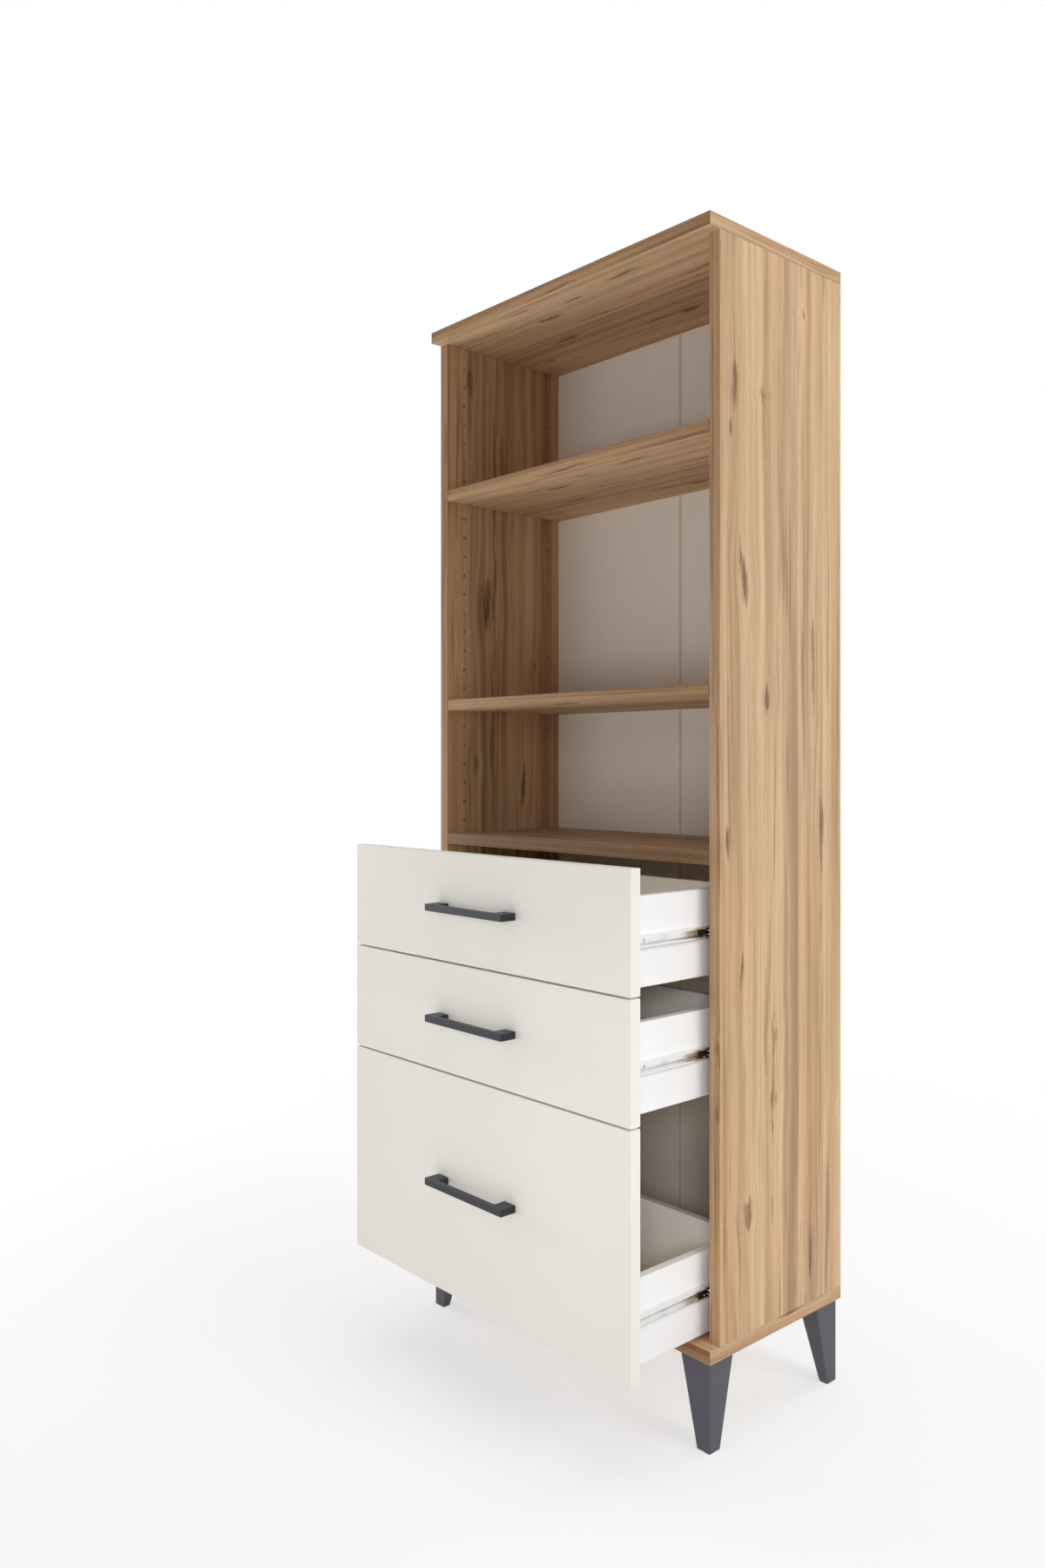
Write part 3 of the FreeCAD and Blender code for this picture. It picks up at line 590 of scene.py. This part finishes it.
def shell(name, body, top, bottom, finish):
    """A closed piece from two grids of points with a common border: faces between the rows of each, and a
    strip that joins their borders. top and bottom are arrays (copies, rows, columns, 3)."""
    copies, rows, columns = top.shape[:3]
    index = np.arange(rows * columns).reshape(rows, columns)
    quads = np.stack([index[:-1, :-1], index[1:, :-1], index[1:, 1:], index[:-1, 1:]], -1).reshape(-1, 4)
    loop = np.concatenate([index[0, :-1], index[:-1, -1], index[-1, :0:-1], index[:0:-1, 0]])
    turn = np.roll(loop, -1)
    lower = rows * columns
    strip = np.stack([loop, turn, turn + lower, loop + lower], -1)
    one = np.concatenate([quads, quads[:, ::-1] + lower, strip])
    faces = (one[None] + (np.arange(copies) * 2 * lower)[:, None, None]).reshape(-1, 4)
    points = np.concatenate([top.reshape(copies, -1, 3), bottom.reshape(copies, -1, 3)], 1).reshape(-1, 3)
    mesh = bpy.data.meshes.new(name)
    mesh.from_pydata(points.tolist(), [], faces.tolist())
    mesh.materials.append(finish.material)
    mesh.validate()
    piece = bpy.data.objects.new(name, mesh)
    bpy.context.collection.objects.link(piece)
    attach(piece, body)


def cross_heads(name, body, places, outward, finish, radius, rise, sunk, recess):
    """Screw or cam heads with a cross recess.

    A square grid a, b from -1 to 1 is pressed into a disc: a * sqrt(1 - b * b / 2) and the same for b. The
    height is a low dome, rise * (1 - r ** 4), less a cross whose two arms are cut with sloping walls.
    """
    a, b = np.meshgrid(np.linspace(-1, 1, HEAD_GRID), np.linspace(-1, 1, HEAD_GRID), indexing="ij")
    p = a * np.sqrt(1 - b * b / 2)
    q = b * np.sqrt(1 - a * a / 2)

    def arm(along, across):
        width = np.clip((CROSS_ARM + CROSS_SLOPE - np.abs(across)) / CROSS_SLOPE, 0, 1)
        return width * np.clip((CROSS_REACH - np.abs(along)) / CROSS_SLOPE, 0, 1)

    height = rise * (1 - np.hypot(p, q) ** 4) - recess * np.maximum(arm(p, q), arm(q, p))
    out = np.array(outward, float)
    first = np.array([1.0, 0.0, 0.0] if out[2] else [0.0, 0.0, 1.0])
    second = np.cross(out, first)
    flat = (p[..., None] * first + q[..., None] * second) * radius
    centres = np.array(places, float)[:, None, None, :]
    top = centres + flat + height[..., None] * out
    bottom = centres + flat - out * max(sunk, recess - rise + HEAD_FLOOR)
    shell(name, body, top, bottom, finish)


def fit_heads(steel):
    """Runner screws in the channels' holes, and cross recesses on the cams and the handle screws."""
    for n in DRAWERS:
        body = "drawer_%d" % n
        low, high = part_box(body + "_channels")
        z = (low[2] + high[2]) / 2
        holes = (low[1] + RUNNER_HOLE_FRONT, high[1] - RUNNER_HOLE_REAR)
        x = high[0] - CHANNEL_DEPTH + RUNNER_HEAD_OUT
        for label, side in SIDES:
            cross_heads("%s_runner_screws_%s" % (body, label), body, [(side * x, y, z) for y in holes],
                        (side, 0, 0), steel, **RUNNER_SCREW)
        box_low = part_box(body + "_right_side")[0]
        for label, side in SIDES:
            place = (side * box_low[0], box_low[1] + DRAWER_CAM_BACK, z)
            cross_heads("%s_front_cam_%s" % (body, label), body, [place], (-side, 0, 0), steel, **DRAWER_CAM)
        low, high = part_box(body + "_handle_screws")
        x = high[0] - HANDLE_SCREW_IN
        cross_heads(body + "_handle_screw_heads", body,
                    [(side * x, high[1], (low[2] + high[2]) / 2) for _, side in SIDES], (0, 1, 0), steel,
                    **HANDLE_SCREW)
    low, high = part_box("fixed_shelf")
    x = high[0] - SHELF_CAM_IN
    cross_heads("fixed_shelf_cams", "carcass",
                [(side * x, y, low[2]) for _, side in SIDES for y in SHELF_CAM_ROWS], (0, 0, -1), steel,
                **SHELF_CAM)


# Floor, light and camera

WORLD_LIGHT = 0.26
BOUNCES = 10
FLOOR_RADIUS, FLOOR_RINGS, FLOOR_SPOKES = 12.0, 24, 72
FLOOR_MIDDLE = 0.02                              # k of the innermost ring
SHADOW_FADE = (0.7, 2.0, 0.6)                    # the floor looks white beyond these, and this white within
LAMPS = (  # name, place, aim, width, height, watts, beam in degrees
    ("right_soft_box", (3.0, 0.4, 2.3), (0.3, 0.0, 1.3), 1.4, 1.4, 45.5, 180.0),
    ("left_soft_box", (-3.0, -0.7, 0.8), (0.0, -0.2, 0.45), 1.0, 1.0, 43.0, 180.0),
    ("low_front_soft_box", (-0.4, -3.0, 0.40), (0.0, -0.3, 0.35), 2.4, 0.7, 13.5, 180.0),
    ("overhead_soft_box", (0.0, 0.3, 4.5), (0.0, 0.0, 0.0), 4.0, 4.0, 93.0, 180.0),
    ("rear_soft_box", (0.6, 3.4, 1.2), (0.0, 0.1, 0.8), 2.4, 1.6, 40.0, 180.0),
    ("drawer_soft_box", (2.0, -2.1, 1.25), (0.2, -0.2, 0.40), 0.6, 0.5, 0.53, 26.0))


def looked_at(tree):
    """1 for what the camera sees, in a mirror or through glass too, and 0 for light that falls on a thing."""
    rays = tree.nodes.new("ShaderNodeLightPath")
    share = rays.outputs["Is Camera Ray"]
    for kind in ("Is Glossy Ray", "Is Transmission Ray"):
        either = tree.nodes.new("ShaderNodeMath")
        either.operation = "MAXIMUM"
        tree.links.new(share, either.inputs[0])
        tree.links.new(rays.outputs[kind], either.inputs[1])
        share = either.outputs[0]
    return share


def set_world():
    """A soft even light that looks pure white."""
    world = bpy.data.worlds.new("white_studio")
    bpy.context.scene.world = world
    world.use_nodes = True
    tree = world.node_tree
    tree.nodes.clear()
    light = tree.nodes.new("ShaderNodeBackground")
    light.inputs["Color"].default_value = (1.0, 0.995, 0.985, 1.0)
    light.inputs["Strength"].default_value = WORLD_LIGHT
    white = tree.nodes.new("ShaderNodeBackground")
    white.inputs["Strength"].default_value = 1.0
    white.inputs["Color"].default_value = PURE_WHITE
    mix = tree.nodes.new("ShaderNodeMixShader")
    tree.links.new(looked_at(tree), mix.inputs[0])
    tree.links.new(light.outputs[0], mix.inputs[1])
    tree.links.new(white.outputs[0], mix.inputs[2])
    tree.links.new(mix.outputs[0], tree.nodes.new("ShaderNodeOutputWorld").inputs[0])


def lay_floor():
    """A round floor: rings of radius 12 * k * k for k up to 1, flat at the height of the feet."""
    spokes = np.linspace(0, 2 * math.pi, FLOOR_SPOKES, endpoint=False)
    k, angle = np.meshgrid(np.linspace(FLOOR_MIDDLE, 1, FLOOR_RINGS), spokes, indexing="ij")
    radius = FLOOR_RADIUS * k * k
    points = np.stack([radius * np.cos(angle), radius * np.sin(angle), 0 * k], -1)
    index = np.arange(k.size).reshape(k.shape)
    turn = np.roll(index, -1, 1)
    quads = np.stack([index[:-1], index[1:], turn[1:], turn[:-1]], -1).reshape(-1, 4).tolist()
    mesh = bpy.data.meshes.new("floor")
    mesh.from_pydata(points.reshape(-1, 3).tolist(), [], quads + [index[0].tolist()])
    floor = bpy.data.objects.new("floor", mesh)
    bpy.context.collection.objects.link(floor)
    f = Finish("pale_floor", (0.90, 0.90, 0.895, 1.0), 0.9, specular=0.1)
    reach = f.math("SQRT", f.plus(f.times(f.x, f.x), f.times(f.y, f.y)))
    glow = f.add("ShaderNodeEmission")
    glow.inputs["Color"].default_value = PURE_WHITE
    glow.inputs["Strength"].default_value = 1.0
    mix = f.add("ShaderNodeMixShader")
    f.feed(mix.inputs[0], f.times(looked_at(f.tree), f.fade(reach, *SHADOW_FADE)))
    f.feed(mix.inputs[1], f.shader.outputs[0])
    f.feed(mix.inputs[2], glow.outputs[0])
    f.feed(f.tree.nodes["Material Output"].inputs[0], mix.outputs[0])
    mesh.materials.append(f.material)


def soft_lamp(name, place, aim, width, height, power, beam):
    """A rectangular soft box that points from place to aim; a grid on it can narrow its beam, in degrees."""
    lamp = bpy.data.lights.new(name, "AREA")
    lamp.shape = "RECTANGLE"
    lamp.size = width
    lamp.size_y = height
    lamp.energy = power
    lamp.spread = math.radians(beam)
    holder = bpy.data.objects.new(name, lamp)
    bpy.context.collection.objects.link(holder)
    x, y, z = np.array(aim) - np.array(place)
    holder.location = place
    holder.rotation_euler = (math.atan2(math.hypot(x, y), -z), 0.0, math.atan2(x, -y) + math.pi)


def set_camera():
    """A level camera at the photograph's place; its horizon lies a little above the middle of the frame."""
    camera = bpy.data.cameras.new("camera")
    camera.sensor_width = 36.0
    camera.lens = 27.354
    camera.shift_y = -0.01368
    camera.clip_start = 0.05
    holder = bpy.data.objects.new("camera", camera)
    holder.location = (1.30036, -1.36837, 0.9093)
    holder.rotation_euler = (math.radians(90.0), 0.0, math.radians(48.34))
    bpy.context.collection.objects.link(holder)
    bpy.context.scene.camera = holder


dress_boards()
fit_heads(dress_fittings())
set_world()
lay_floor()
for lamp in LAMPS:
    soft_lamp(*lamp)
bpy.context.scene.cycles.diffuse_bounces = BOUNCES
set_camera()
bpy.context.scene.view_settings.view_transform = "Standard"
